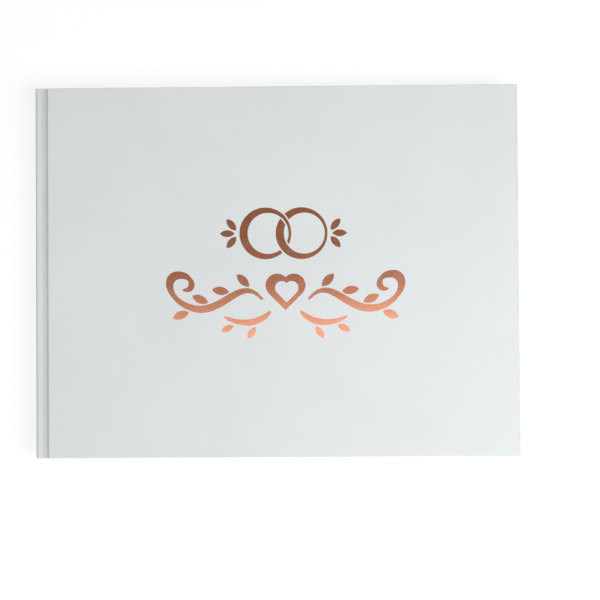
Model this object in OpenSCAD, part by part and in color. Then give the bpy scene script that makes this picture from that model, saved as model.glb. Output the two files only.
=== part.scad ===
// Landscape case-bound guest book: a sewn block of pages in a white, laminated hard case.
// Origin: on the table under the middle of the closed book. +X runs from the spine to the
// fore-edge, +Y to the head of the pages, +Z up through the front cover.

/* [Book] */
// Width of the closed book, from the spine to the fore-edge
book_w = 280; // [240:1:320]
// Height of the covers, from the tail to the head
book_h = 215; // [200:1:300]
// How far the covers stand out past the pages
overhang = 3.5; // [2:0.5:5]

/* [Case] */
// Thickness of the three stiff boards
board_t = 3; // [2.5:0.1:3.2]
// Thickness of the white laminated wrap
wrap_t = 0.3; // [0.2:0.05:0.35]
// Width of the wrap's edges that are turned in over the boards
turn_in_w = 16; // [12:1:18]
// Radius of the spine's two long edges
spine_edge_r = 1; // [0.6:0.1:1.4]
// From the spine's face to the lip of the groove
lip_w = 3.8; // [3.7:0.1:3.9]
// From the spine's face to the cover panel, across the groove
panel_offset = 7.4; // [7.2:0.1:7.8]
// Width of the slope from the lip down to the groove's floor
slope_w = 1.2; // [1:0.1:1.5]
// Depth of the pressed groove between spine and panel
groove_depth = 2.4; // [1.8:0.1:2.5]

/* [Pages] */
// Thickness of one sheet of page paper
sheet_t = 0.15; // [0.1:0.01:0.16]
// Distance from one leaf to the next in a section
leaf_pitch = 0.17; // [0.165:0.005:0.2]
// Thickness of an endpaper sheet
endpaper_t = 0.18; // [0.12:0.01:0.19]
// Radius of the sewing thread
thread_r = 0.12; // [0.08:0.01:0.12]

/* [Foil design] */
// Outer radius of each foil ring
ring_r = 15; // [12:0.5:17]
// Distance between the centres of the two rings
ring_gap = 21; // [18:0.5:24]
// Widest stroke of the flourish
stroke_w = 5.2; // [3:0.1:5.6]
// Thickness of the foil
foil_t = 0.05; // [0.03:0.01:0.1]

/* [Hidden] */
$fn = 48;

// Colours
white_laminate = [0.9, 0.91, 0.92];
board_grey = [0.62, 0.6, 0.56];
page_white = [0.97, 0.96, 0.93];
endpaper_white = [0.94, 0.94, 0.93];
cloth_white = [0.85, 0.84, 0.8];
rose_gold = [0.8, 0.5, 0.38];
glue_cream = [0.88, 0.82, 0.66];

// Layers of a cover, from outside to inside: wrap, board, turn-in, pastedown
pastedown_t = 0.2;
mull_t = wrap_t;
cover_t = wrap_t + board_t + wrap_t + pastedown_t;

// The block: six sections of four folded sheets, between two flyleaves
section_count = 6;
sheets_per_section = 4;
thread_room = 0.02;
section_t = 2 * (sheets_per_section * leaf_pitch + thread_r);
flyleaf_slot = 0.2;
block_t = section_count * section_t + 2 * flyleaf_slot;
book_t = 2 * cover_t + block_t;

// Places along X
spine_x = -book_w / 2;
lip_x = spine_x + lip_w;
panel_x = spine_x + panel_offset;
spine_in_x = spine_x + wrap_t + board_t;
fold_x = spine_x + 4.9;
leaf_x = panel_x + 1;
fore_x = book_w / 2;
leaf_end_x = fore_x - overhang;

// Places along Y
cover_y = book_h / 2;
page_y = cover_y - overhang;
turn_y = cover_y - turn_in_w;
lining_y = page_y - 4;
mull_y = turn_y - 0.5;
band_y = page_y + 0.8;

// Places along Z in the front cover; the back cover is its mirror image
top_z = book_t;
board_top_z = top_z - wrap_t;
board_low_z = board_top_z - board_t;
turn_low_z = board_low_z - wrap_t;
cover_low_z = top_z - cover_t;
groove_z = top_z - groove_depth;
pages_top_z = cover_low_z - flyleaf_slot;
pages_low_z = cover_t + flyleaf_slot;

// Layers on the spine of the block, from the folds outwards
glue_t = 0.3;
lining_t = 0.2;
glue_x = fold_x - glue_t;
mull_x = glue_x - mull_t;
lining_x = mull_x - lining_t;
mull_reach = 22.6;
band_r = 0.8;
tape_low_y = lining_y - 4;

// Sewing stations along the spine: a kettle stitch at each end, and two tapes between
kettle_y = 90;
tape_out_y = 50;
tape_in_y = 30;
stations = [-kettle_y, -tape_out_y, -tape_in_y, tape_in_y, tape_out_y, kettle_y];
inside_runs = [[0, 1], [2, 3], [4, 5]];
outside_runs = [[1, 2], [3, 4]];
run_x = fold_x + section_t / 2;
link_x = fold_x - glue_t / 2;

// The foil design: rings over a flourish, both a little right of the middle
rings_at = [4, 22];
flourish_at = [5, -12];
ring_shift = 1.6;
ring_band = 3.1;
under_gap = 0.8;
heart_r = 6.8;
heart_band = 2.8;
heart_up = -1;
nib_angle = 50;
leaf_lean = 40;
curve_steps = 14;
long_vine = [
    [[13.6, -4], [27, 12], [37, -17], [57, -8]],
    [[57, -8], [70, -2], [70, 11.5], [60, 10]],
    [[60, 10], [53, 9], [52.5, 0.5], [59, 1.5]]
];
short_vine = [[[9, -11.5], [15, -18.5], [26, -19.5], [35, -14.5]]];

// ---- helpers ----

// A box between two corners, given as a pair of limits for each axis
module block(x, y, z)
    translate([x[0], y[0], z[0]])
        cube([x[1] - x[0], y[1] - y[0], z[1] - z[0]]);

// The same limits on both sides of the middle
function both(half) = [-half, half];

// A profile drawn in X and Z, carried along Y
module along_y(length)
    rotate([90, 0, 0])
        linear_extrude(length, center = true)
            children();

// The back of the book is the front turned over
module as_back()
    translate([0, 0, book_t])
        mirror([0, 0, 1])
            children();

// ---- case ----

module cover_board()
    color(board_grey)
        block([panel_x + wrap_t, fore_x - wrap_t], both(cover_y - wrap_t), [board_low_z, board_top_z]);

// The wrap's panel: outer face, four edges and the turn-ins on three sides
module cover_wrap()
    color(white_laminate)
        difference() {
            block([panel_x, fore_x], both(cover_y), [turn_low_z, top_z]);
            block([panel_x + wrap_t, fore_x - wrap_t], both(cover_y - wrap_t), [board_low_z, board_top_z]);
            block([panel_x - 1, fore_x - turn_in_w], both(turn_y), [turn_low_z - 1, board_low_z + 1]);
            block([panel_x - 1, panel_x + wrap_t], both(cover_y + 1), [turn_low_z - 1, groove_z - wrap_t]);
        }

// The strip of wrap that is pressed into the groove, doubled by its turn-ins at head and tail
module joint_strip() {
    drop = wrap_t * sqrt(1 + pow(groove_depth / slope_w, 2));
    floor_x = lip_x + slope_w;
    under_x = lip_x + slope_w * (groove_depth - drop + wrap_t) / groove_depth;
    under_z = groove_z - wrap_t;
    color(white_laminate) {
        along_y(book_h)
            polygon([
                [lip_x, top_z], [floor_x, groove_z], [panel_x, groove_z],
                [panel_x, under_z], [under_x, under_z], [lip_x, top_z - drop]
            ]);
        for (side = [-1, 1])
            translate([0, side * (cover_y - turn_in_w / 2), under_z - wrap_t])
                block([floor_x, panel_x], both(turn_in_w / 2), [0, wrap_t]);
    }
}

// Outline of the spine, in X and Z, with its two outer edges rounded
module spine_outline(x, z, r) {
    translate([x[0] + r, z[0]])
        square([x[1] - x[0] - r, z[1] - z[0]]);
    translate([x[0], z[0] + r])
        square([x[1] - x[0], z[1] - z[0] - 2 * r]);
    for (corner_z = [z[0] + r, z[1] - r])
        translate([x[0] + r, corner_z])
            circle(r);
}

module spine_board_shape()
    along_y(book_h - 2 * wrap_t)
        spine_outline([spine_x + wrap_t, spine_in_x], [wrap_t, board_top_z], spine_edge_r - wrap_t);

module spine_board()
    color(board_grey)
        spine_board_shape();

module spine_wrap()
    color(white_laminate)
        difference() {
            along_y(book_h)
                spine_outline([spine_x, lip_x], [0, book_t], spine_edge_r);
            spine_board_shape();
            block([spine_in_x - 1, lip_x + 1], both(turn_y), [wrap_t, board_top_z]);
            block([spine_in_x + wrap_t, lip_x + 1], both(cover_y + 1), [wrap_t, board_top_z]);
        }

// ---- foil ----

function mix(a, b, t) = a * (1 - t) + b * t;

// A point on a cubic curve through four control points, and the direction there
function curve_point(p, t) =
    let (a = mix(p[0], p[1], t), b = mix(p[1], p[2], t), c = mix(p[2], p[3], t))
    mix(mix(a, b, t), mix(b, c, t), t);
function curve_slope(p, t) =
    mix(mix(p[1] - p[0], p[2] - p[1], t), mix(p[2] - p[1], p[3] - p[2], t), t);

// The same on a path of curves laid end to end, where t counts the curves passed
function piece_of(path, t) = min(floor(t), len(path) - 1);
function path_point(path, t) = let (i = piece_of(path, t)) curve_point(path[i], t - i);
function path_slope(path, t) = let (i = piece_of(path, t)) curve_slope(path[i], t - i);
function path_angle(path, t) = let (d = path_slope(path, t)) atan2(d[1], d[0]);
function around(centre, angle, r) = centre + r * [cos(angle), sin(angle)];

// Width of a broad pen's stroke: wide across the nib, and thin towards both ends of the path
function pen_width(path, t, thin, wide) =
    let (across = abs(sin(path_angle(path, t) - nib_angle)), n = len(path))
    mix(thin, wide, (0.35 + 0.65 * across) * sqrt(sin(180 * t / n)));

// A pen stroke along a path, as one outline with round ends
module pen_stroke(path, thin, wide) {
    steps = curve_steps * len(path);
    ts = [for (i = [0:steps]) i / curve_steps];
    start = path_angle(path, 0);
    end = path_angle(path, len(path));
    polygon(concat(
        [for (t = ts)
            around(path_point(path, t), path_angle(path, t) + 90, pen_width(path, t, thin, wide) / 2)],
        [for (a = [45, 0, -45]) around(path_point(path, len(path)), end + a, thin / 2)],
        [for (i = [steps:-1:0])
            let (t = ts[i])
            around(path_point(path, t), path_angle(path, t) - 90, pen_width(path, t, thin, wide) / 2)],
        [for (a = [225, 180, 135]) around(path_point(path, 0), start + a, thin / 2)]
    ));
}

// A pointed leaf between two arcs, growing from the origin along +X
module leaf_shape(length, width) {
    r = (length * length / width + width) / 4;
    translate([length / 2, 0])
        intersection_for(side = [-1, 1])
            translate([0, side * (r - width / 2)])
                circle(r, $fn = 96);
}

// A leaf standing beside a path, on one side of it
module leaf_on(path, t, side, length, width) {
    away = side * (pen_width(path, t, 1.4, stroke_w) / 2 + 0.9);
    translate(around(path_point(path, t), path_angle(path, t) + 90, away))
        rotate(path_angle(path, t) + side * leaf_lean)
            leaf_shape(length, width);
}

// A heart of two round lobes over a square standing on its corner
module heart_outline(r) {
    lobe_angles = [for (a = [-45:15:135]) a];
    lobe_at = r / sqrt(2);
    polygon(concat(
        [[0, -r * sqrt(2)]],
        [for (a = lobe_angles) around([lobe_at, lobe_at], a, r)],
        [for (a = lobe_angles) if (a > -45) around([-lobe_at, lobe_at], a + 90, r)]
    ));
}

// An open heart: its inside is smaller and shifted, so that one side is thick
module pen_heart()
    difference() {
        heart_outline(heart_r);
        translate([0.7, 0.5])
            heart_outline(heart_r - heart_band);
    }

// A ring drawn with a broad pen: its hole is shifted, so that one side is thick
module pen_ring(extra = 0)
    difference() {
        circle(ring_r + extra, $fn = 96);
        translate([ring_shift, 0])
            circle(ring_r - ring_band - extra, $fn = 96);
    }

// Half of the plane above or below the rings' common line
module half_plane(side)
    translate([-60, side > 0 ? 0 : -60])
        square([120, 60]);

// Each ring passes under the other at one of their two crossings
module ring_pair()
    for (side = [-1, 1])
        difference() {
            translate([side * ring_gap / 2, 0])
                pen_ring();
            intersection() {
                translate([-side * ring_gap / 2, 0])
                    pen_ring(under_gap);
                half_plane(side);
            }
        }

// A sprig of three leaves beside the rings
module sprig()
    for (turn = [-50, 0, 50])
        rotate(turn)
            translate([2.4, 0])
                leaf_shape(8.5, 4);

module on_cover(at)
    translate([at[0], at[1], top_z])
        linear_extrude(foil_t)
            children();

module foil_rings()
    color(rose_gold)
        on_cover(rings_at) {
            ring_pair();
            for (side = [0, 1])
                mirror([side, 0])
                    translate([ring_gap / 2 + ring_r + 0.4, 0])
                        sprig();
        }

// The right half of the flourish: a long vine that ends in a curl, and a short one below it
module flourish_half() {
    pen_stroke(long_vine, 1.4, stroke_w);
    pen_stroke(short_vine, 1.2, 0.75 * stroke_w);
    for (t = [0.2, 0.46, 0.76])
        leaf_on(long_vine, t, 1, 10, 4.8);
    leaf_on(long_vine, 0.97, -1, 10, 4.8);
    for (t = [0.4, 0.8])
        leaf_on(short_vine, t, -1, 8, 3.8);
}

module foil_flourish()
    color(rose_gold)
        on_cover(flourish_at) {
            translate([0, heart_up])
                pen_heart();
            for (side = [0, 1])
                mirror([side, 0])
                    flourish_half();
        }

// ---- endpapers ----

// The pastedown fills the recess between the turn-ins, and leaves room for the mull
module pastedown()
    color(endpaper_white) {
        block([leaf_x, leaf_end_x], both(page_y), [cover_low_z, turn_low_z]);
        block([panel_x + mull_reach, fore_x - turn_in_w], both(turn_y), [turn_low_z, board_low_z]);
    }

module flyleaf() {
    spare = (flyleaf_slot - endpaper_t) / 2;
    color(endpaper_white)
        block([leaf_x, leaf_end_x], both(page_y), [pages_top_z + spare, cover_low_z - spare]);
}

// The endpaper's fold, where the flyleaf turns back into the pastedown
module endpaper_fold()
    color(endpaper_white)
        block([fold_x, leaf_x], both(page_y), [pages_top_z, turn_low_z]);

// ---- page block ----

// One folded sheet, as a U that lies open to +X; sheet 0 is the outermost
module sheet_outline(sheet, length) {
    outer = section_t / 2 - sheet * leaf_pitch - (leaf_pitch - sheet_t) / 2;
    inner = outer - sheet_t;
    difference() {
        union() {
            circle(outer);
            translate([0, -outer])
                square([length, 2 * outer]);
        }
        circle(inner);
        translate([0, -inner])
            square([length + 1, 2 * inner]);
    }
}

// The holes that the thread passes through
module sewing_holes(z, r)
    for (y = stations)
        translate([glue_x - 1, y, z])
            rotate([0, 90, 0])
                cylinder(h = section_t / 2 + glue_t + 1, r = r);

module folded_sheets(z, end_x)
    color(page_white)
        difference() {
            for (sheet = [0:sheets_per_section - 1])
                translate([run_x, 0, z])
                    along_y(2 * page_y)
                        sheet_outline(sheet, end_x - run_x);
            sewing_holes(z, thread_r + thread_room);
        }

function section_z(number) = pages_top_z - (number - 0.5) * section_t;

module section(number)
    folded_sheets(section_z(number), leaf_end_x);

module section_1_folds()
    folded_sheets(section_z(1), leaf_x);

// A leaf of the first section: 1 to 4 lie above its centre fold, and 5 to 8 below
module turning_leaf(number) {
    above = number <= sheets_per_section;
    sheet = above ? number - 1 : 2 * sheets_per_section - number;
    from_fold = section_t / 2 - (sheet + 0.5) * leaf_pitch;
    z = section_z(1) + (above ? from_fold : -from_fold);
    color(page_white)
        block([leaf_x, leaf_end_x], both(page_y), [z - sheet_t / 2, z + sheet_t / 2]);
}

// ---- sewing and lining ----

module thread_along_x(y, z)
    translate([link_x - thread_r, y, z])
        rotate([0, 90, 0])
            cylinder(h = run_x - link_x + 2 * thread_r, r = thread_r, $fn = 8);

module thread_along_y(x, y, z)
    translate([x, (y[0] + y[1]) / 2, z])
        along_y(y[1] - y[0])
            circle(thread_r, $fn = 8);

// The kettle stitch that climbs from one section to the next, at alternate ends
module kettle_link(number)
    translate([link_x, kettle_y * (number % 2 == 0 ? 1 : -1), section_z(number + 1)])
        cylinder(h = section_t, r = thread_r, $fn = 8);

module sewing_thread()
    color(page_white) {
        for (number = [1:section_count]) {
            for (run = inside_runs)
                thread_along_y(run_x, [stations[run[0]], stations[run[1]]], section_z(number));
            for (run = outside_runs)
                thread_along_y(link_x, [stations[run[0]], stations[run[1]]], section_z(number));
            for (y = stations)
                thread_along_x(y, section_z(number));
        }
        for (number = [1:section_count - 1])
            kettle_link(number);
    }

// Slots through the glue for the thread, straight through its thickness
module thread_slots() {
    slot = both(thread_r + thread_room);
    glue_x_span = [glue_x - 1, fold_x + 1];
    for (number = [1:section_count])
        translate([0, 0, section_z(number)]) {
            for (y = [-kettle_y, kettle_y])
                translate([0, y, 0])
                    block(glue_x_span, slot, slot);
            for (side = [-1, 1])
                translate([0, side * (tape_in_y + tape_out_y) / 2, 0])
                    block(glue_x_span, both((tape_out_y - tape_in_y) / 2 + slot[1]), slot);
        }
    for (number = [1:section_count - 1])
        translate([0, kettle_y * (number % 2 == 0 ? 1 : -1), 0])
            block(glue_x_span, slot, [section_z(number + 1), section_z(number)]);
}

module spine_glue()
    color(glue_cream)
        difference() {
            block([glue_x, fold_x], both(tape_low_y - 1), [pages_low_z, pages_top_z]);
            thread_slots();
        }

module spine_mull()
    color(cloth_white)
        block([mull_x, glue_x], both(mull_y), [book_t - board_low_z, board_low_z]);

module spine_lining()
    color(page_white)
        block([lining_x, mull_x], both(lining_y), [pages_low_z, pages_top_z]);

// The mull's edge, glued to the board under the pastedown
module mull_flange()
    color(cloth_white)
        block([panel_x, panel_x + mull_reach], both(mull_y), [turn_low_z, board_low_z]);

// The mull's stretch between the block's shoulder and the board
module mull_hinge()
    color(cloth_white)
        block([glue_x, panel_x], both(mull_y), [turn_low_z, board_low_z]);

// A band is a bead over the end of the folds, on a tape glued to the spine
module end_band() {
    bead_x = glue_x + band_r;
    color(page_white) {
        translate([bead_x, band_y, pages_low_z])
            cylinder(h = pages_top_z - pages_low_z, r = band_r);
        block([glue_x, glue_x + glue_t], [tape_low_y, band_y], [pages_low_z, pages_top_z]);
    }
}

module front_board() cover_board();
module back_board() as_back() cover_board();
module front_wrap() cover_wrap();
module back_wrap() as_back() cover_wrap();
module front_joint() joint_strip();
module back_joint() as_back() joint_strip();
module front_pastedown() pastedown();
module back_pastedown() as_back() pastedown();
module front_flyleaf() flyleaf();
module back_flyleaf() as_back() flyleaf();
module front_endpaper_fold() endpaper_fold();
module back_endpaper_fold() as_back() endpaper_fold();
module front_mull_flange() mull_flange();
module back_mull_flange() as_back() mull_flange();
module front_mull_hinge() mull_hinge();
module back_mull_hinge() as_back() mull_hinge();
module headband() end_band();
module tailband() mirror([0, 1, 0]) end_band();

front_board();
back_board();
spine_board();
front_wrap();
back_wrap();
spine_wrap();
front_joint();
back_joint();
foil_rings();
foil_flourish();
front_pastedown();
back_pastedown();
front_flyleaf();
back_flyleaf();
front_endpaper_fold();
back_endpaper_fold();
turning_leaf(1);  // leaf_1
turning_leaf(2);  // leaf_2
turning_leaf(3);  // leaf_3
turning_leaf(4);  // leaf_4
turning_leaf(5);  // leaf_5
turning_leaf(6);  // leaf_6
turning_leaf(7);  // leaf_7
turning_leaf(8);  // leaf_8
section_1_folds();
section(2);  // section_2
section(3);  // section_3
section(4);  // section_4
section(5);  // section_5
section(6);  // section_6
sewing_thread();
spine_glue();
spine_mull();
spine_lining();
headband();
tailband();
front_mull_flange();
back_mull_flange();
front_mull_hinge();
back_mull_hinge();
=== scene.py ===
# %% [markdown]
# # A white guest book with rose-gold foil
# This lesson dresses a case-bound guest book. The frame below holds the book's plain working
# parts in their right places. Each cell makes one visible piece the way a bookbinder would
# think of it: a cover, a sheet, a band. Covers, pastedowns, the spine, the closed sections and
# the bands are then parented to an empty named for the body they belong to.

# %% Load the frame
import math
import random

import bmesh
import bpy
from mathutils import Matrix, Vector


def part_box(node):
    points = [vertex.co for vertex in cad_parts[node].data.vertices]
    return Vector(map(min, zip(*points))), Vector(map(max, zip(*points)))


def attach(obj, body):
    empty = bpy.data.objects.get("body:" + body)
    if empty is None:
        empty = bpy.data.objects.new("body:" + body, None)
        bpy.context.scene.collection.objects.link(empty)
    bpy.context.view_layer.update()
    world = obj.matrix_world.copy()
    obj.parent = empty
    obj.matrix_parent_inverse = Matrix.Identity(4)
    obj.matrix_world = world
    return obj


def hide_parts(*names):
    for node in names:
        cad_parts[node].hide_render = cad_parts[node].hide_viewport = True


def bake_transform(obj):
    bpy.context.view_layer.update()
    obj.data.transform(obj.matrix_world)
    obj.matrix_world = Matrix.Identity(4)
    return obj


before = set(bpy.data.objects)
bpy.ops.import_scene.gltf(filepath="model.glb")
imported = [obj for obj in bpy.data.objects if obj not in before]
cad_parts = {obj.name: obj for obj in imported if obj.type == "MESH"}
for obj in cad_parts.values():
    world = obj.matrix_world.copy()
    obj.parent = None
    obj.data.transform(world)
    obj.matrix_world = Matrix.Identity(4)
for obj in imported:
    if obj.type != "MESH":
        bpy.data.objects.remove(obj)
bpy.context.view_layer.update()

MM = 0.001

# %% [markdown]
# ## Where things are
# All places come from the frame. The two covers, with their grooves, hinges and flyleaves, are
# mirror images through the middle of the book's thickness. So one function draws each of
# these pieces as it lies at the front, and turns it over when it is meant for the back.

# %% Read the places from the frame
spine_lo, spine_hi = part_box("spine_wrap")
panel_lo, panel_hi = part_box("front_wrap")
paste_lo, paste_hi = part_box("front_pastedown")
fold_lo, fold_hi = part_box("section_1_folds")
board_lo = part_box("front_board")[0]
flange_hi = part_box("front_mull_flange")[1]

BOOK_T = spine_hi.z
SPINE_X = spine_lo.x
LIP_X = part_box("front_joint")[0].x
PANEL_X = panel_lo.x
FORE_X = panel_hi.x
COVER_Y = panel_hi.y
PAGE_Y = paste_hi.y
print("panel from", round(PANEL_X / MM, 2), "to", round(FORE_X / MM, 2), "mm")

# %% [markdown]
# ## Profiles
# A profile is an open chain of edges in X and Z. It grows from its tip, straight or round an
# arc. That is how most of a book is made: every part of it is a sheet that was folded, and
# the chain shows the fold from the side. A few operators keep each piece readable, and the
# same helpers serve paper, cloth and the laminated wrap.

# %% Draw a profile
def start_at(bm, x, z):
    return bm.verts.new((x, 0, z))


def run_to(bm, tip, x, z, steps=1):
    """Lengthen the profile to a new tip, in short steps where it has to bend."""
    from_here = tip.co.copy()
    for step in range(1, steps + 1):
        tip = bmesh.ops.extrude_vert_indiv(bm, verts=[tip])["verts"][0]
        tip.co = from_here.lerp(Vector((x, 0, z)), step / steps)
    return tip


def turn_round(bm, tip, centre, degrees, steps):
    """Carry the profile's tip round a centre in X and Z."""
    middle = Vector((centre[0], 0, centre[1]))
    made = bmesh.ops.spin(bm, geom=[tip], cent=middle, axis=(0, 1, 0),
                          angle=math.radians(degrees), steps=steps)
    return next(g for g in made["geom_last"] if isinstance(g, bmesh.types.BMVert))


print("profile helpers ready")

# %% [markdown]
# ## Sheets
# A sheet is a profile carried along Y. Its faces have to look outwards before it gets a
# thickness, because the wall grows inwards from them. Recalculating makes all faces agree
# with each other, but an open sheet has no inside. So one face, whose side is known, decides.
# A mirrored piece is turned inside out by the mirroring, so its faces are turned back.

# %% Sweep a profile into a sheet
def look(bm, sample, way):
    """Make all faces agree, with one sample face looking the right way."""
    bmesh.ops.recalc_face_normals(bm, faces=bm.faces[:])
    bm.normal_update()
    if sample.normal.dot(way) < 0:
        bmesh.ops.reverse_faces(bm, faces=bm.faces[:])


def sweep(bm, half, side=1):
    """Carry the whole profile along Y. Its top faces look up, or its lowest down for side -1."""
    for v in bm.verts:
        v.co.y = -half
    made = bmesh.ops.extrude_edge_only(bm, edges=bm.edges[:])
    moved = [g for g in made["geom"] if isinstance(g, bmesh.types.BMVert)]
    bmesh.ops.translate(bm, verts=moved, vec=(0, 2 * half, 0))
    outermost = max(bm.faces, key=lambda f: side * f.calc_center_median().z)
    look(bm, outermost, Vector((0, 0, side)))


def turn_over(bm):
    """The back of the book is the front, mirrored through the middle of its thickness."""
    bmesh.ops.scale(bm, vec=(1, 1, -1), verts=bm.verts[:])
    bmesh.ops.translate(bm, vec=(0, 0, BOOK_T), verts=bm.verts[:])
    bmesh.ops.reverse_faces(bm, faces=bm.faces[:])


print("sheet helpers ready")

# %% [markdown]
# ## A finished piece
# A finished piece gets smooth shading, except across real corners. A sheet gets its thickness
# from the solidify operator, which adds the wall on the side that its faces turn away from.

# %% Finish a piece
SHARP = math.radians(38)


def finished(name, bm, finish, wall=0.0, back=False):
    if back:
        turn_over(bm)
    if wall:
        bmesh.ops.solidify(bm, geom=bm.faces[:], thickness=wall)
    bm.normal_update()
    for face in bm.faces:
        face.smooth = True
    for edge in bm.edges:
        edge.smooth = len(edge.link_faces) == 2 and edge.calc_face_angle() < SHARP
    mesh = bpy.data.meshes.new(name)
    bm.to_mesh(mesh)
    bm.free()
    mesh.materials.append(finish)
    piece = bpy.data.objects.new(name, mesh)
    bpy.context.scene.collection.objects.link(piece)
    print(f"{name}: {len(mesh.polygons)} faces")
    return piece


print("edges stay crisp from", round(math.degrees(SHARP)), "degrees")

# %% [markdown]
# ## Finishes
# Each finish is a Principled shader with a little life in it. These helpers keep the node
# graphs short: they start a finish, add a node with its inputs set, and plug a value in.

# %% Nodes
def new_finish(slot, colour, roughness, metallic=0.0, specular=0.5):
    made = bpy.data.materials.new(slot + "_finish")
    made.use_nodes = True
    made["slot"] = slot
    shader = made.node_tree.nodes["Principled BSDF"]
    shader.inputs["Base Color"].default_value = (*colour, 1)
    shader.inputs["Roughness"].default_value = roughness
    shader.inputs["Metallic"].default_value = metallic
    shader.inputs["Specular IOR Level"].default_value = specular
    return made


def plug(finish, value, socket):
    """Link another node's output, or set a plain value."""
    if isinstance(value, bpy.types.NodeSocket):
        finish.node_tree.links.new(value, socket)
    else:
        socket.default_value = value


def add_node(finish, kind, settings=None, **inputs):
    """Add a node. Its inputs are given by name, with an underscore for each space."""
    node = finish.node_tree.nodes.new("ShaderNode" + kind)
    for key, value in (settings or {}).items():
        setattr(node, key, value)
    for key, value in inputs.items():
        plug(finish, value, node.inputs[key.replace("_", " ")])
    return node


def use(finish, socket, source):
    shader = finish.node_tree.nodes["Principled BSDF"]
    finish.node_tree.links.new(source, shader.inputs[socket])


print("node helpers ready")

# %% [markdown]
# ### Patterns
# A pattern is noise at a size given in millimetres. It reads Object coordinates, so it stays
# on the piece as the piece moves. A noise value then becomes a colour between two near
# neighbours, a number in a small range, or a height that tilts the surface.

# %% Noise, colour and bump
def place_on(finish):
    return add_node(finish, "TexCoord").outputs["Object"]


def stretched(finish, factors):
    return add_node(finish, "Mapping", Vector=place_on(finish), Scale=factors).outputs["Vector"]


def noise(finish, size_mm, detail=2.0, where=None):
    where = where or place_on(finish)
    node = add_node(finish, "TexNoise", Vector=where, Scale=1 / (size_mm * MM), Detail=detail)
    return node.outputs["Fac"]


def blend_colours(finish, factor, low, high, from_low=0.35, from_high=0.65):
    """A noise value becomes a colour between two near neighbours."""
    ramp = add_node(finish, "ValToRGB", Fac=factor)
    for stop, place, colour in zip(ramp.color_ramp.elements, (from_low, from_high), (low, high)):
        stop.position = place
        stop.color = (*colour, 1)
    return ramp.outputs["Color"]


def between(finish, factor, low, high):
    node = add_node(finish, "MapRange", Value=factor, To_Min=low, To_Max=high)
    return node.outputs["Result"]


def raise_bump(finish, height, depth_mm, strength=1.0, under=None):
    node = add_node(finish, "Bump", Height=height, Distance=depth_mm * MM, Strength=strength)
    if under:
        plug(finish, under, node.inputs["Normal"])
    return node.outputs["Normal"]


print("pattern helpers ready")

# %% [markdown]
# ### Painted edge shade
# Painted shade on the laminate has a place: it starts a known way in from an edge and is
# strongest at it. So it is worked out from coordinates with a little arithmetic, and then
# moves the colour part of the way to a darker grey. The Mix node lists its colour sockets
# after those for plain numbers.

# %% Helpers for painted edge shade
MIX_FROM = 6
MIX_TO = 7
MIX_RESULT = 2


def rise(finish, value, start, end, top=1.0):
    """Nothing at the start of a range, and its top value from the end onwards."""
    node = add_node(finish, "MapRange", Value=value, From_Min=start, From_Max=end, To_Max=top)
    return node.outputs["Result"]


def reckon(finish, operation, first, second=0.0):
    """One step of arithmetic on two values."""
    node = add_node(finish, "Math", {"operation": operation})
    plug(finish, first, node.inputs[0])
    plug(finish, second, node.inputs[1])
    return node.outputs["Value"]


def toward_shade(finish, colour, shade_colour, amount):
    node = add_node(finish, "Mix", {"data_type": "RGBA"}, Factor=amount)
    plug(finish, colour, node.inputs[MIX_FROM])
    plug(finish, (*shade_colour, 1), node.inputs[MIX_TO])
    return node.outputs[MIX_RESULT]


print("wear helpers ready")

# %% [markdown]
# ### White laminate
# The case is printed paper under a matte film. It is close to white and a little cool, and it
# scatters light softly. Along the spine's outer edges and, in patches, along the fore-edge its
# colour is greyed: that is painted shade. A fine grain keeps the film from looking like
# plastic, and a broad, shallow swell is the board showing through. In the grooves the same
# film is made a little darker, which is painted shade in the recess.

# %% White laminate
# The grey that the painted edge shade moves the film toward.
SHADE_GREY = (0.54, 0.545, 0.55)
HALF_T = BOOK_T / 2
SHADE_W = 1.6 * MM
SHADE_FULL = 0.4 * MM
OUTER_FROM = HALF_T - 1.8 * MM
OUTER_FULL = HALF_T - 0.6 * MM
PATCH_MM = 14
FORE_SHADE = 0.45
SPINE_SHADE = 0.75


def painted_edge_shade(finish):
    """How much painted shade the film gets: in patches at the fore-edge, evenly at the spine's
    outer edges.
    """
    place = add_node(finish, "SeparateXYZ", Vector=place_on(finish)).outputs
    # Patches of painted shadow along the fore-edge, placed by noise.
    fore_edge = rise(finish, place["X"], FORE_X - SHADE_W, FORE_X)
    shadow_patches = rise(finish, noise(finish, PATCH_MM, 1), 0.4, 0.7, FORE_SHADE)
    # The spine's rounded outer edges are greyed evenly: painted shade.
    spine_edge = rise(finish, place["X"], SPINE_X + SHADE_W, SPINE_X + SHADE_FULL)
    from_middle = reckon(finish, "ABSOLUTE", reckon(finish, "SUBTRACT", place["Z"], HALF_T))
    outside = rise(finish, from_middle, OUTER_FROM, OUTER_FULL, SPINE_SHADE)
    return reckon(finish, "MAXIMUM", reckon(finish, "MULTIPLY", fore_edge, shadow_patches),
                  reckon(finish, "MULTIPLY", spine_edge, outside))


def white_film(shade=1.0):
    """The laminate, at full white or darkened by the shade factor, which paints shade."""
    low = [shade * c for c in (0.776, 0.814, 0.812)]
    high = [shade * c for c in (0.799, 0.836, 0.835)]
    made = new_finish("white_laminate", high, 0.42, specular=0.4)
    cast = blend_colours(made, noise(made, 45, 3), low, high)
    # The base colour moves toward grey by the painted edge shade.
    use(made, "Base Color", toward_shade(made, cast, SHADE_GREY, painted_edge_shade(made)))
    use(made, "Roughness", between(made, noise(made, 9, 4), 0.37, 0.49))
    swell = raise_bump(made, noise(made, 60, 1), 0.15, 0.3)
    use(made, "Normal", raise_bump(made, noise(made, 0.35, 2), 0.006, 0.5, swell))
    return made


laminate = white_film()
# The grooves get the laminate darkened as painted shade in the recess.
groove_shaded_film = white_film(shade=0.87)
print("finishes:", laminate.name, "and", groove_shaded_film.name)

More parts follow.
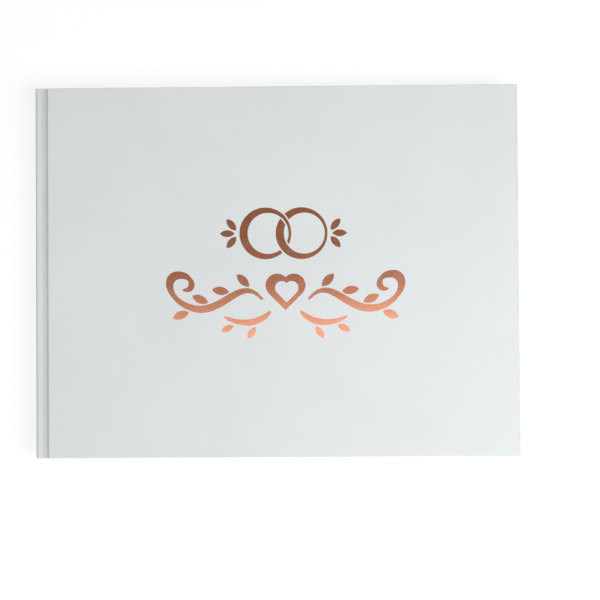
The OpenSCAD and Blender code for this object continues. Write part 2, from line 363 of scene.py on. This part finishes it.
# %% [markdown]
# ### Rose-gold foil
# Hot-stamped foil is a metal film a few microns thick. It mirrors the room, so its light and
# dark come from the lamps, not from paint. It takes up the grain of the surface below, which
# breaks the reflection into a fine sparkle.

# %% Foil
foil = new_finish("rose_gold_foil", (0.95, 0.39, 0.22), 0.21, metallic=1.0)
tone = noise(foil, 5, 3)
use(foil, "Base Color", blend_colours(foil, tone, (0.93, 0.385, 0.22), (0.96, 0.445, 0.285)))
film_lines = noise(foil, 0.4, 3, stretched(foil, (0.12, 1, 1)))
use(foil, "Roughness", between(foil, film_lines, 0.10, 0.19))
use(foil, "Normal", raise_bump(foil, film_lines, 0.006, 0.5))
print("finish:", foil.name)

# %% [markdown]
# ### Papers
# Page paper is soft and slightly warm, and the endpapers are heavier and smoother. Fibres
# are much longer than they are wide, so their noise is stretched along the grain, which in
# a book runs from head to tail. The page's cut edges need no trick: they are real sheets.

# %% Page paper, endpaper and lining
def paper(slot, low, high, roughness, depth_mm):
    made = new_finish(slot, high, roughness, specular=0.25)
    along_grain = stretched(made, (1, 0.25, 1))
    cloud = noise(made, 12, 4)
    use(made, "Base Color", blend_colours(made, cloud, low, high))
    fibres = noise(made, 0.25, 5, along_grain)
    use(made, "Roughness", between(made, fibres, roughness - 0.06, roughness + 0.06))
    use(made, "Normal", raise_bump(made, fibres, depth_mm, 0.5))
    return made


page_paper = paper("page_paper", (0.87, 0.86, 0.827), (0.885, 0.877, 0.845), 0.8, 0.015)
endpaper = paper("endpaper", (0.87, 0.87, 0.86), (0.885, 0.885, 0.875), 0.62, 0.01)
lining = paper("lining_paper", (0.62, 0.52, 0.38), (0.70, 0.60, 0.45), 0.85, 0.03)
print("finishes:", page_paper.name, endpaper.name, lining.name)

# %% [markdown]
# ### Boards and glue
# The greyboard is pressed from recycled fibre, so it is flecked. The glue on the spine dries
# glossy and uneven. Both hardly show, but each is a real material with its own surface.

# %% Boards and glue
def mottled(slot, colours, size_mm, detail, roughness, depth_mm, specular=0.5):
    low, middle, high = colours
    made = new_finish(slot, middle, roughness, specular=specular)
    spots = noise(made, size_mm, detail)
    use(made, "Base Color", blend_colours(made, spots, low, high))
    use(made, "Normal", raise_bump(made, spots, depth_mm, 0.5))
    return made


GREYS = ((0.30, 0.29, 0.27), (0.40, 0.385, 0.36), (0.44, 0.425, 0.395))
AMBERS = ((0.74, 0.65, 0.46), (0.80, 0.72, 0.53), (0.84, 0.77, 0.60))
greyboard = mottled("greyboard", GREYS, 0.8, 6, 0.9, 0.05, specular=0.2)
glue = mottled("binding_glue", AMBERS, 3, 3, 0.32, 0.2)
print("finishes:", greyboard.name, glue.name)

# %% [markdown]
# ### Cloth, thread and bands
# The mull is an open weave, made here from two crossed sets of waves. The thread and the
# bands show the turns of their yarn, which is one set of waves across their length. At a
# scale of 1, one of the texture's waves is 0.314 m wide, so its scale follows from the yarn's
# own width.

# %% Cloth, thread and bands
ONE_WAVE = 0.314


def yarn_waves(finish, axis, pitch_mm, spread=0.6):
    """Ridges that cross one axis, as wide as the yarn."""
    node = add_node(finish, "TexWave", {"bands_direction": axis, "wave_profile": "SIN"},
                    Vector=place_on(finish), Scale=ONE_WAVE / (pitch_mm * MM),
                    Distortion=spread, Detail=2.0, Detail_Scale=3.0)
    return node.outputs["Fac"]


def cloth(slot, low, high, pitch_mm, axes):
    made = new_finish(slot, high, 0.85, specular=0.2)
    normal = None
    for axis in axes:
        weave = yarn_waves(made, axis, pitch_mm)
        normal = raise_bump(made, weave, pitch_mm * 0.3, 0.6, normal)
    use(made, "Base Color", blend_colours(made, weave, low, high, 0.2, 0.7))
    use(made, "Normal", normal)
    return made


mull = cloth("mull_cloth", (0.60, 0.57, 0.50), (0.84, 0.82, 0.75), 0.9, "XY")
thread = cloth("linen_thread", (0.70, 0.69, 0.64), (0.90, 0.89, 0.85), 0.22, "Y")
band = cloth("band_cord", (0.72, 0.72, 0.70), (0.90, 0.90, 0.885), 0.3, "Z")
print("finishes:", mull.name, thread.name, band.name)

# %% [markdown]
# ## Dress the pieces that keep their working shape
# The boards, the foil, the thread, the layers on the spine and the glued ends of the mull
# already have their true shape in the frame. They only need a finish in their material slot.

# %% Dress them
DRESSED = {
    "front_board": greyboard, "back_board": greyboard, "spine_board": greyboard,
    "foil_rings": foil, "foil_flourish": foil,
    "sewing_thread": thread, "spine_glue": glue, "spine_mull": mull, "spine_lining": lining,
    "front_mull_flange": mull, "back_mull_flange": mull,
}
for node_name, finish in DRESSED.items():
    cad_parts[node_name].material_slots[0].material = finish
print(len(DRESSED), "frame pieces dressed")

# %% [markdown]
# ## Cutting
# A box becomes a cover by cutting it across, removing some of its faces and softening its
# edges. A plane can cut a whole mesh at once. Each helper picks edges or faces by where they
# lie, so it doesn't matter in which order they were made.

# %% Cutting helpers
def cut_across(bm, axis, values):
    """Slice the whole mesh at these places on an axis, and keep both sides."""
    facing = Vector((axis == "x", axis == "y", axis == "z"))
    for value in values:
        bmesh.ops.bisect_plane(bm, geom=bm.verts[:] + bm.edges[:] + bm.faces[:],
                               plane_co=facing * value, plane_no=facing)


def remove_faces(bm, unwanted):
    doomed = [f for f in bm.faces if unwanted(f.calc_center_median())]
    bmesh.ops.delete(bm, geom=doomed, context="FACES")


def block(bm, low, high):
    made = bmesh.ops.create_cube(bm, size=1)
    bmesh.ops.scale(bm, vec=Vector(high) - Vector(low), verts=made["verts"])
    bmesh.ops.translate(bm, vec=(Vector(high) + Vector(low)) / 2, verts=made["verts"])


def runs_along(edge, axis):
    a, b = (v.co for v in edge.verts)
    return (a - b).normalized()["xyz".index(axis)] ** 2 > 0.99


def soften(bm, chosen, radius, segments):
    edges = [e for e in bm.edges if chosen(e)]
    bmesh.ops.bevel(bm, geom=edges, offset=radius, offset_type="OFFSET", segments=segments,
                    profile=0.5, affect="EDGES", clamp_overlap=False, material=-1)


print("cutting helpers ready")

# %% [markdown]
# ## The cover boards
# A board is wrapped in one printed sheet. The sheet turns round the edges and is glued down
# inside as a flap 16 mm wide, the turn-in, on every side but the spine's. The skin is a box
# with softened edges. Its inside is cut open between the turn-ins, and then it gets its wall.
# Cuts a little way in from each edge keep the soft shading of the edges out of the flats.

# %% Board skins
TURN_IN = 16 * MM
TURN_Y = COVER_Y - TURN_IN
WRAP_T = 0.25 * MM
CORNER_R = 0.8 * MM
EDGE_R = 0.35 * MM
EDGE_X = PANEL_X - 0.2 * MM
SHADE_IN = 1.6 * MM
NEAR = 1e-6


def board_skin(name, back):
    bm = bmesh.new()
    low, high = Vector((EDGE_X, panel_lo.y, panel_lo.z)), panel_hi
    block(bm, low, high)
    soften(bm, lambda e: runs_along(e, "z"), CORNER_R, 4)
    soften(bm, lambda e: all(abs(v.co.z - low.z) < NEAR for v in e.verts)
           or all(abs(v.co.z - high.z) < NEAR for v in e.verts), EDGE_R, 5)
    cut_across(bm, "x", (low.x + SHADE_IN, high.x - SHADE_IN, high.x - TURN_IN))
    cut_across(bm, "y", (-COVER_Y + SHADE_IN, COVER_Y - SHADE_IN, -TURN_Y, TURN_Y))
    cut_across(bm, "z", (board_lo.z,))
    remove_faces(bm, lambda c: abs(c.y) < TURN_Y and c.z < low.z + NEAR
                 and c.x < high.x - TURN_IN)
    remove_faces(bm, lambda c: abs(c.y) < TURN_Y and c.z < board_lo.z
                 and c.x < low.x + SHADE_IN)
    return finished(name, bm, laminate, wall=WRAP_T, back=back)


BOTH_SIDES = (("front", False), ("back", True))
for side, back in BOTH_SIDES:
    skin = board_skin(side + "_cover_skin", back)
    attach(skin, side + "_cover")
    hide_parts(side + "_wrap")

# %% [markdown]
# ## The spine
# The same sheet runs on over the spine board, and is turned in at head and tail. It is a box
# again, rounder along its outer edges than at its ends, and open where the hollow back is.

# %% The spine's skin
SEAM_X = SPINE_X + 3.6 * MM
SPINE_R = 1.0 * MM
SPINE_END_R = 0.45 * MM


def at_an_end(edge):
    """An edge of the head or tail end, but not the one at the seam."""
    if len(edge.link_faces) != 2 or runs_along(edge, "y"):
        return False
    ends = any(abs(f.normal.y) > 0.9 for f in edge.link_faces)
    return ends and min(v.co.x for v in edge.verts) < SEAM_X - NEAR


bm = bmesh.new()
block(bm, (SPINE_X, -COVER_Y, 0), (SEAM_X, COVER_Y, BOOK_T))
soften(bm, lambda e: runs_along(e, "y") and e.verts[0].co.x < SPINE_X + NEAR, SPINE_R, 8)
soften(bm, at_an_end, SPINE_END_R, 4)
cut_across(bm, "y", (-COVER_Y + SHADE_IN, COVER_Y - SHADE_IN, -TURN_Y, TURN_Y))
cut_across(bm, "z", (SHADE_IN, BOOK_T - SHADE_IN))
remove_faces(bm, lambda c: abs(c.y) < TURN_Y and c.x > SEAM_X - NEAR)
spine_skin = finished("spine_skin", bm, laminate, wall=WRAP_T)
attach(spine_skin, "text_block")
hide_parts("spine_wrap")

# %% [markdown]
# ## The grooves
# Between the boards the sheet is pressed down into a groove, the joint, and the groove is
# where the cover bends. So the groove is a piece of its own, drawn at rest with many narrow
# strips across the bend. At head and tail the sheet is doubled by its turn-in, so there the
# strip gets a second layer below.

# %% The grooves
GROOVE_Z = BOOK_T - 1.5 * MM
GROOVE_FOOT_X = SPINE_X + 4.25 * MM
BEND_R = 0.3 * MM
FILLET = 1.0 * MM
UNDER_EDGE = 0.1 * MM


def round_corners(bm, corners, radius):
    bmesh.ops.bevel(bm, geom=corners, offset=radius, offset_type="OFFSET", segments=6,
                    profile=0.5, affect="VERTICES", clamp_overlap=False, material=-1)


def groove_strip(name, back):
    bm = bmesh.new()
    tip = start_at(bm, SEAM_X, BOOK_T)
    shoulder = run_to(bm, tip, LIP_X, BOOK_T)
    foot = run_to(bm, shoulder, GROOVE_FOOT_X, GROOVE_Z, steps=7)
    wall_foot = run_to(bm, foot, EDGE_X - FILLET, GROOVE_Z, steps=9)
    run_to(bm, wall_foot, EDGE_X + UNDER_EDGE, GROOVE_Z + FILLET)
    round_corners(bm, [shoulder, foot], BEND_R)
    round_corners(bm, [wall_foot], FILLET / 2)
    sweep(bm, COVER_Y)
    bmesh.ops.solidify(bm, geom=bm.faces[:], thickness=WRAP_T)
    cut_across(bm, "y", (-TURN_Y, TURN_Y))
    bm.normal_update()
    flap = [f for f in bm.faces if f.normal.z < -0.3 and abs(f.calc_center_median().y) > TURN_Y]
    made = bmesh.ops.extrude_face_region(bm, geom=flap)
    lower = [g for g in made["geom"] if isinstance(g, bmesh.types.BMVert)]
    bmesh.ops.translate(bm, vec=(0, 0, -WRAP_T), verts=lower)
    bmesh.ops.delete(bm, geom=flap, context="FACES")
    # The groove's darker film is painted shade.
    return finished(name, bm, groove_shaded_film, back=back)


for side, back in BOTH_SIDES:
    strip = groove_strip(side + "_groove", back)
    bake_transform(strip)
    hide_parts(side + "_joint")

# %% [markdown]
# ## Inside the covers
# The pastedown is the half of the endpaper that is glued to the board. Paste pulls it down
# over the edges of the turn-ins, so they show through as a faint step. Raising the middle of
# the sheet a little between close cuts makes that step in the mesh.

# %% Pastedowns
PAPER_T = 0.18 * MM
DIP = 0.18 * MM
STEP_W = 1.2 * MM
FLANGE_X = flange_hi.x


def pastedown(name, back):
    bm = bmesh.new()
    middle = (paste_lo + paste_hi) / 2
    bmesh.ops.create_grid(bm, x_segments=1, y_segments=1, size=0.5)
    bmesh.ops.scale(bm, vec=(paste_hi.x - paste_lo.x, 2 * PAGE_Y, 1), verts=bm.verts[:])
    bmesh.ops.translate(bm, vec=(middle.x, 0, paste_lo.z), verts=bm.verts[:])
    turn_x = FORE_X - TURN_IN
    cut_across(bm, "x", [turn_x + k * STEP_W for k in (-2, -1, 0, 1)])
    cut_across(bm, "x", [FLANGE_X + k * STEP_W for k in (-1, 0, 1, 2)])
    cut_across(bm, "y", [sign * (TURN_Y + k * STEP_W) for sign in (-1, 1) for k in (-2, -1, 0, 1)])
    sunk = [v for v in bm.verts if FLANGE_X + 0.5 * STEP_W < v.co.x < turn_x - 0.5 * STEP_W
            and abs(v.co.y) < TURN_Y - 0.5 * STEP_W]
    bmesh.ops.translate(bm, vec=(0, 0, DIP), verts=sunk)
    look(bm, bm.faces[:][0], Vector((0, 0, -1)))
    return finished(name, bm, endpaper, wall=PAPER_T, back=back)


for side, back in BOTH_SIDES:
    sheet = pastedown(side + "_pastedown_sheet", back)
    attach(sheet, side + "_cover")
    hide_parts(side + "_pastedown")

# %% [markdown]
# ## Hinges of paper and mull
# Two strips cross the groove on the inside. The endpaper runs from the pastedown to its fold,
# and the mull is an open cotton cloth that ties the sewn pages to the boards. Both are flat
# at rest and arch over the joint when the cover opens; here they are drawn flat, with close
# strips across the joint.

# %% Hinge strips
FOLD_EDGE_X = SPINE_X + 5.2 * MM
MULL_FROM_X = SPINE_X + 4.6 * MM
MULL_T = 0.28 * MM


def hinge_strip(name, finish, ends, z, half, thickness, back):
    bm = bmesh.new()
    tip = start_at(bm, ends[0], z)
    run_to(bm, tip, ends[1], z, steps=16)
    sweep(bm, half)
    return finished(name, bm, finish, wall=thickness, back=back)


STRIPS = [
    ("endpaper_hinge", endpaper, (FOLD_EDGE_X, paste_lo.x), paste_lo.z + PAPER_T, PAGE_Y,
     PAPER_T, "endpaper_fold"),
    ("mull_strip", mull, (MULL_FROM_X, PANEL_X), flange_hi.z, flange_hi.y, MULL_T, "mull_hinge"),
]
for word, finish, ends, z, half, thickness, node_name in STRIPS:
    for side, back in BOTH_SIDES:
        strip = hinge_strip(f"{side}_{word}", finish, ends, z, half, thickness, back)
        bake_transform(strip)
        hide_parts(f"{side}_{node_name}")

# %% [markdown]
# ## Sheets of a section
# A section is four sheets folded together, so each leaf belongs to a fold at the spine. The
# outer sheet, number 0, has the widest fold. Away from the fold the sheets settle to an even
# pitch, one fifth of a millimetre. No two cut edges are quite level, which gives the block
# its fine lines. The small differences are random, but always the same from one run to the
# next, because the random numbers start from a fixed seed.

# %% Sheet helpers
SHEETS = 4
SHEET_T = 0.15 * MM
PITCH = 0.2 * MM
FOLD_X = SPINE_X + 5.7 * MM
FOLD_PITCH = 0.17 * MM
FIRST_MIDDLE_Z = (fold_hi.z + fold_lo.z) / 2
FOLD_R = [fold_hi.z - FIRST_MIDDLE_Z - k * FOLD_PITCH for k in range(SHEETS)]
SETTLE_X = FOLD_X + 30 * MM
UNEVEN_X = 0.22
UNEVEN_Y = 0.12
chance = random.Random(7)


def leaf_height(k):
    """How far the outside of sheet k lies from the middle of its section, once settled."""
    return (SHEETS - k) * PITCH - (PITCH - SHEET_T) / 2


def page_edge():
    return paste_hi.x - chance.uniform(0, UNEVEN_X) * MM


def page_half():
    return PAGE_Y - chance.uniform(0, UNEVEN_Y) * MM


print("fold radii, in mm:", [round(r / MM, 2) for r in FOLD_R])

# %% [markdown]
# ## The leaves that turn
# The first section's leaves turn one by one. Each has half of its fold with it. Leaves 1 to 4
# turn right over with the cover, so they bend close to the fold, within a few millimetres.
# Leaves 5 to 8 only lift, so they bend in a long soft curve, along about a third of their
# width. Here each leaf is drawn at rest, with close strips up to where its bend ends; the list
# gives that place, in millimetres from the spine.

# %% The leaves that turn
BENDS = [9.2, 10.2, 11.4, 13, 120, 105, 90, 75]


def turning_leaf(name, k, side, bend_to):
    """The leaf of sheet k, above (side 1) or below (side -1) the section's middle."""
    bm = bmesh.new()
    tip = start_at(bm, FOLD_X - FOLD_R[k], FIRST_MIDDLE_Z)
    tip = turn_round(bm, tip, (FOLD_X, FIRST_MIDDLE_Z), side * 90, 6)
    bend = (bend_to - FOLD_X) / (SETTLE_X - FOLD_X)
    settled = FIRST_MIDDLE_Z + side * leaf_height(k)
    rest_at = FOLD_R[k] + min(bend, 1) * (leaf_height(k) - FOLD_R[k])
    tip = run_to(bm, tip, bend_to, FIRST_MIDDLE_Z + side * rest_at, steps=27)
    if bend < 1:
        tip = run_to(bm, tip, SETTLE_X, settled)
    run_to(bm, tip, page_edge(), settled)
    sweep(bm, page_half(), side)
    return finished(name, bm, page_paper, wall=SHEET_T)


for number, bend_mm in enumerate(BENDS, start=1):
    upper = number <= SHEETS
    side = 1 if upper else -1
    k = number - 1 if upper else len(BENDS) - number
    leaf = turning_leaf(f"page_leaf_{number}", k, side, SPINE_X + bend_mm * MM)
    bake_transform(leaf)
    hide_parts(f"leaf_{number}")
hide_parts("section_1_folds")

# %% [markdown]
# ## Flyleaves
# The free half of each endpaper turns with its cover; here it is drawn at rest. It is one
# flat sheet with close strips next to the fold, where it bends.

# %% Flyleaves
FLY_Z = paste_lo.z - 0.01 * MM


def flyleaf(name, back):
    bm = bmesh.new()
    tip = start_at(bm, FOLD_EDGE_X, FLY_Z)
    tip = run_to(bm, tip, paste_lo.x, FLY_Z, steps=16)
    run_to(bm, tip, page_edge(), FLY_Z)
    sweep(bm, page_half())
    return finished(name, bm, endpaper, wall=PAPER_T, back=back)


for side, back in BOTH_SIDES:
    leaf = flyleaf(side + "_fly_sheet", back)
    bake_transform(leaf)
    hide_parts(side + "_flyleaf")

# %% [markdown]
# ## The closed sections
# The other five sections stay closed. Each is four sheets folded round the same line, drawn
# as one chain per sheet: out along the top, round the fold and back below. Each sheet gets
# its thickness on its own, and then joins the others in one mesh.

# %% The closed sections
def folded_sheet(k, middle_z):
    bm = bmesh.new()
    level = leaf_height(k)
    tip = start_at(bm, page_edge(), middle_z + level)
    tip = run_to(bm, tip, SETTLE_X, middle_z + level)
    tip = run_to(bm, tip, FOLD_X, middle_z + FOLD_R[k])
    tip = turn_round(bm, tip, (FOLD_X, middle_z), -180, 10)
    tip = run_to(bm, tip, SETTLE_X, middle_z - level)
    run_to(bm, tip, page_edge(), middle_z - level)
    sweep(bm, page_half())
    bmesh.ops.solidify(bm, geom=bm.faces[:], thickness=SHEET_T)
    return bm


def folded_section(name, middle_z):
    together = bmesh.new()
    for k in range(SHEETS):
        one = folded_sheet(k, middle_z)
        keep = bpy.data.meshes.new("one_sheet")
        one.to_mesh(keep)
        one.free()
        together.from_mesh(keep)
        bpy.data.meshes.remove(keep)
    return finished(name, together, page_paper)


for number in range(2, 7):
    lo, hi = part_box(f"section_{number}")
    section = folded_section(f"page_section_{number}", (lo.z + hi.z) / 2)
    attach(section, "text_block")
    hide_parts(f"section_{number}")

# %% [markdown]
# ## Head and tail bands
# A band is a cord wound with thread, on a tape that is glued across the end of the spine.
# Half rings one above another draw the windings in profile, and a spin round the cord's own
# line makes them solid. The tape is a thin block beside it.

# %% Bands
BEAD_R = 0.8 * MM
BEAD_X = SPINE_X + 5.4 * MM
BEAD_Y = PAGE_Y + BEAD_R
WINDINGS = 24
TAPE_T = 0.3 * MM
TAPE_FROM_Y = 96 * MM
TAPE_TO_Y = BEAD_Y - 0.3 * MM


def wound_band(name, sign):
    lo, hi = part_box("headband")
    pitch = (hi.z - lo.z) / WINDINGS
    core = BEAD_R - pitch / 2
    bm = bmesh.new()
    tip = start_at(bm, 0, lo.z)
    tip = run_to(bm, tip, core, lo.z)
    for turn in range(WINDINGS):
        tip = turn_round(bm, tip, (core, lo.z + (turn + 0.5) * pitch), -180, 4)
    run_to(bm, tip, 0, hi.z)
    bmesh.ops.spin(bm, geom=bm.verts[:] + bm.edges[:], cent=(0, 0, 0), axis=(0, 0, 1),
                   angle=math.tau, steps=16, use_merge=True)
    bmesh.ops.remove_doubles(bm, verts=bm.verts[:], dist=NEAR)
    bmesh.ops.translate(bm, vec=(BEAD_X, sign * BEAD_Y, 0), verts=bm.verts[:])
    bmesh.ops.recalc_face_normals(bm, faces=bm.faces[:])
    tape_y = sorted((sign * TAPE_FROM_Y, sign * TAPE_TO_Y))
    block(bm, (lo.x, tape_y[0], lo.z), (lo.x + TAPE_T, tape_y[1], hi.z))
    return finished(name, bm, band)


for name, sign in (("headband", 1), ("tailband", -1)):
    piece = wound_band("wound_" + name, sign)
    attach(piece, "text_block")
    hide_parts(name)

# %% [markdown]
# ## The studio floor
# A pale floor glows a little of its own light. So it stays nearly white, and the book's
# shadow on it is faint, as under a large soft light.

# %% Floor
FLOOR_HALF = 12
FLOOR_Z = -0.05 * MM
FLOOR_GLOW = 0.715

floor_finish = new_finish("floor", (0.35, 0.35, 0.35), 0.9, specular=0.0)
floor_shader = floor_finish.node_tree.nodes["Principled BSDF"]
floor_shader.inputs["Emission Color"].default_value = (1, 1, 1, 1)
floor_shader.inputs["Emission Strength"].default_value = FLOOR_GLOW

bm = bmesh.new()
bmesh.ops.create_grid(bm, x_segments=1, y_segments=1, size=FLOOR_HALF)
bmesh.ops.translate(bm, vec=(0, 0, FLOOR_Z), verts=bm.verts[:])
floor_mesh = bpy.data.meshes.new("floor")
bm.to_mesh(floor_mesh)
bm.free()
floor_mesh.materials.append(floor_finish)
floor = bpy.data.objects.new("floor", floor_mesh)
bpy.context.scene.collection.objects.link(floor)
print("floor,", round(floor.dimensions.x), "m wide")

# %% [markdown]
# ## The lamps
# Three soft lamps light the book. The large one hangs over the lower right, and its edge is
# what the foil mirrors, so the foil runs from dark copper to pale rose. The one at the lower
# right corner makes the cover brighter on that side. A weak one on the spine side keeps the
# groove from filling with shadow.

# %% Lamps
def soft_lamp(name, place, size, radiance, colour, turn=0.0, aim=None):
    """A square lamp. Its power follows from how bright its face should look."""
    data = bpy.data.lights.new(name, "AREA")
    data.shape = "SQUARE"
    data.size = size
    data.color = colour
    data.energy = radiance * math.pi * size ** 2
    lamp = bpy.data.objects.new(name, data)
    lamp.location = place
    lamp.rotation_euler = (0, 0, math.radians(turn))
    if aim:
        lamp.rotation_euler = (Vector(aim) - Vector(place)).to_track_quat("-Z", "Y").to_euler()
    bpy.context.scene.collection.objects.link(lamp)
    print(f"{name}: {data.energy:.2f} W")


soft_lamp("overhead_lamp", place=(0.27, -0.479, 1.0), size=1.0, radiance=1.0,
          colour=(0.98, 1.0, 1.07), turn=5)
soft_lamp("side_lamp", place=(-0.62, 0.05, 0.42), size=0.4, radiance=0.55,
          colour=(1, 0.99, 0.96), aim=(-0.1, 0, 0))
soft_lamp("corner_lamp", place=(0.58, -0.24, 0.86), size=0.7, radiance=3.35,
          colour=(0.96, 1.0, 1.05), aim=(0.1, 0, 0))

# %% [markdown]
# ## The fill
# The rest of the light comes from all round: bright near the horizon and darker overhead,
# like a white room under a dim ceiling. The dim part is what the foil shows where no lamp is
# mirrored in it. The view is set to Standard, so that white stays white.

# %% Fill from all round
HORIZON = (0.74, 0.75, 0.74, 1)
CEILING = (0.235, 0.20, 0.172, 1)

fill = bpy.data.worlds.new("studio_fill")
fill.use_nodes = True
background = fill.node_tree.nodes["Background"]
sky = fill.node_tree.nodes.new("ShaderNodeTexCoord")
split = fill.node_tree.nodes.new("ShaderNodeSeparateXYZ")
room = fill.node_tree.nodes.new("ShaderNodeValToRGB")
room.color_ramp.elements[0].color = HORIZON
room.color_ramp.elements[1].color = CEILING
fill.node_tree.links.new(sky.outputs["Generated"], split.inputs["Vector"])
fill.node_tree.links.new(split.outputs["Z"], room.inputs["Fac"])
fill.node_tree.links.new(room.outputs["Color"], background.inputs["Color"])
bpy.context.scene.world = fill
bpy.context.scene.view_settings.view_transform = "Standard"
print("world:", fill.name)

# %% [markdown]
# ## The camera
# The book is looked at from straight above, from about a metre away, with a slight tilt.

# %% Camera
CAMERA_PLACE = (0.0317, -0.0402, 1.0)
TILT_DEGREES = (1.36, 1.08, -0.38)
LENS_MM = 101.9

camera_data = bpy.data.cameras.new("camera")
camera_data.sensor_width = 36
camera_data.lens = LENS_MM
camera = bpy.data.objects.new("camera", camera_data)
camera.location = CAMERA_PLACE
camera.rotation_euler = [math.radians(a) for a in TILT_DEGREES]
bpy.context.scene.collection.objects.link(camera)
bpy.context.scene.camera = camera
print("camera at", [round(c, 3) for c in camera.location])
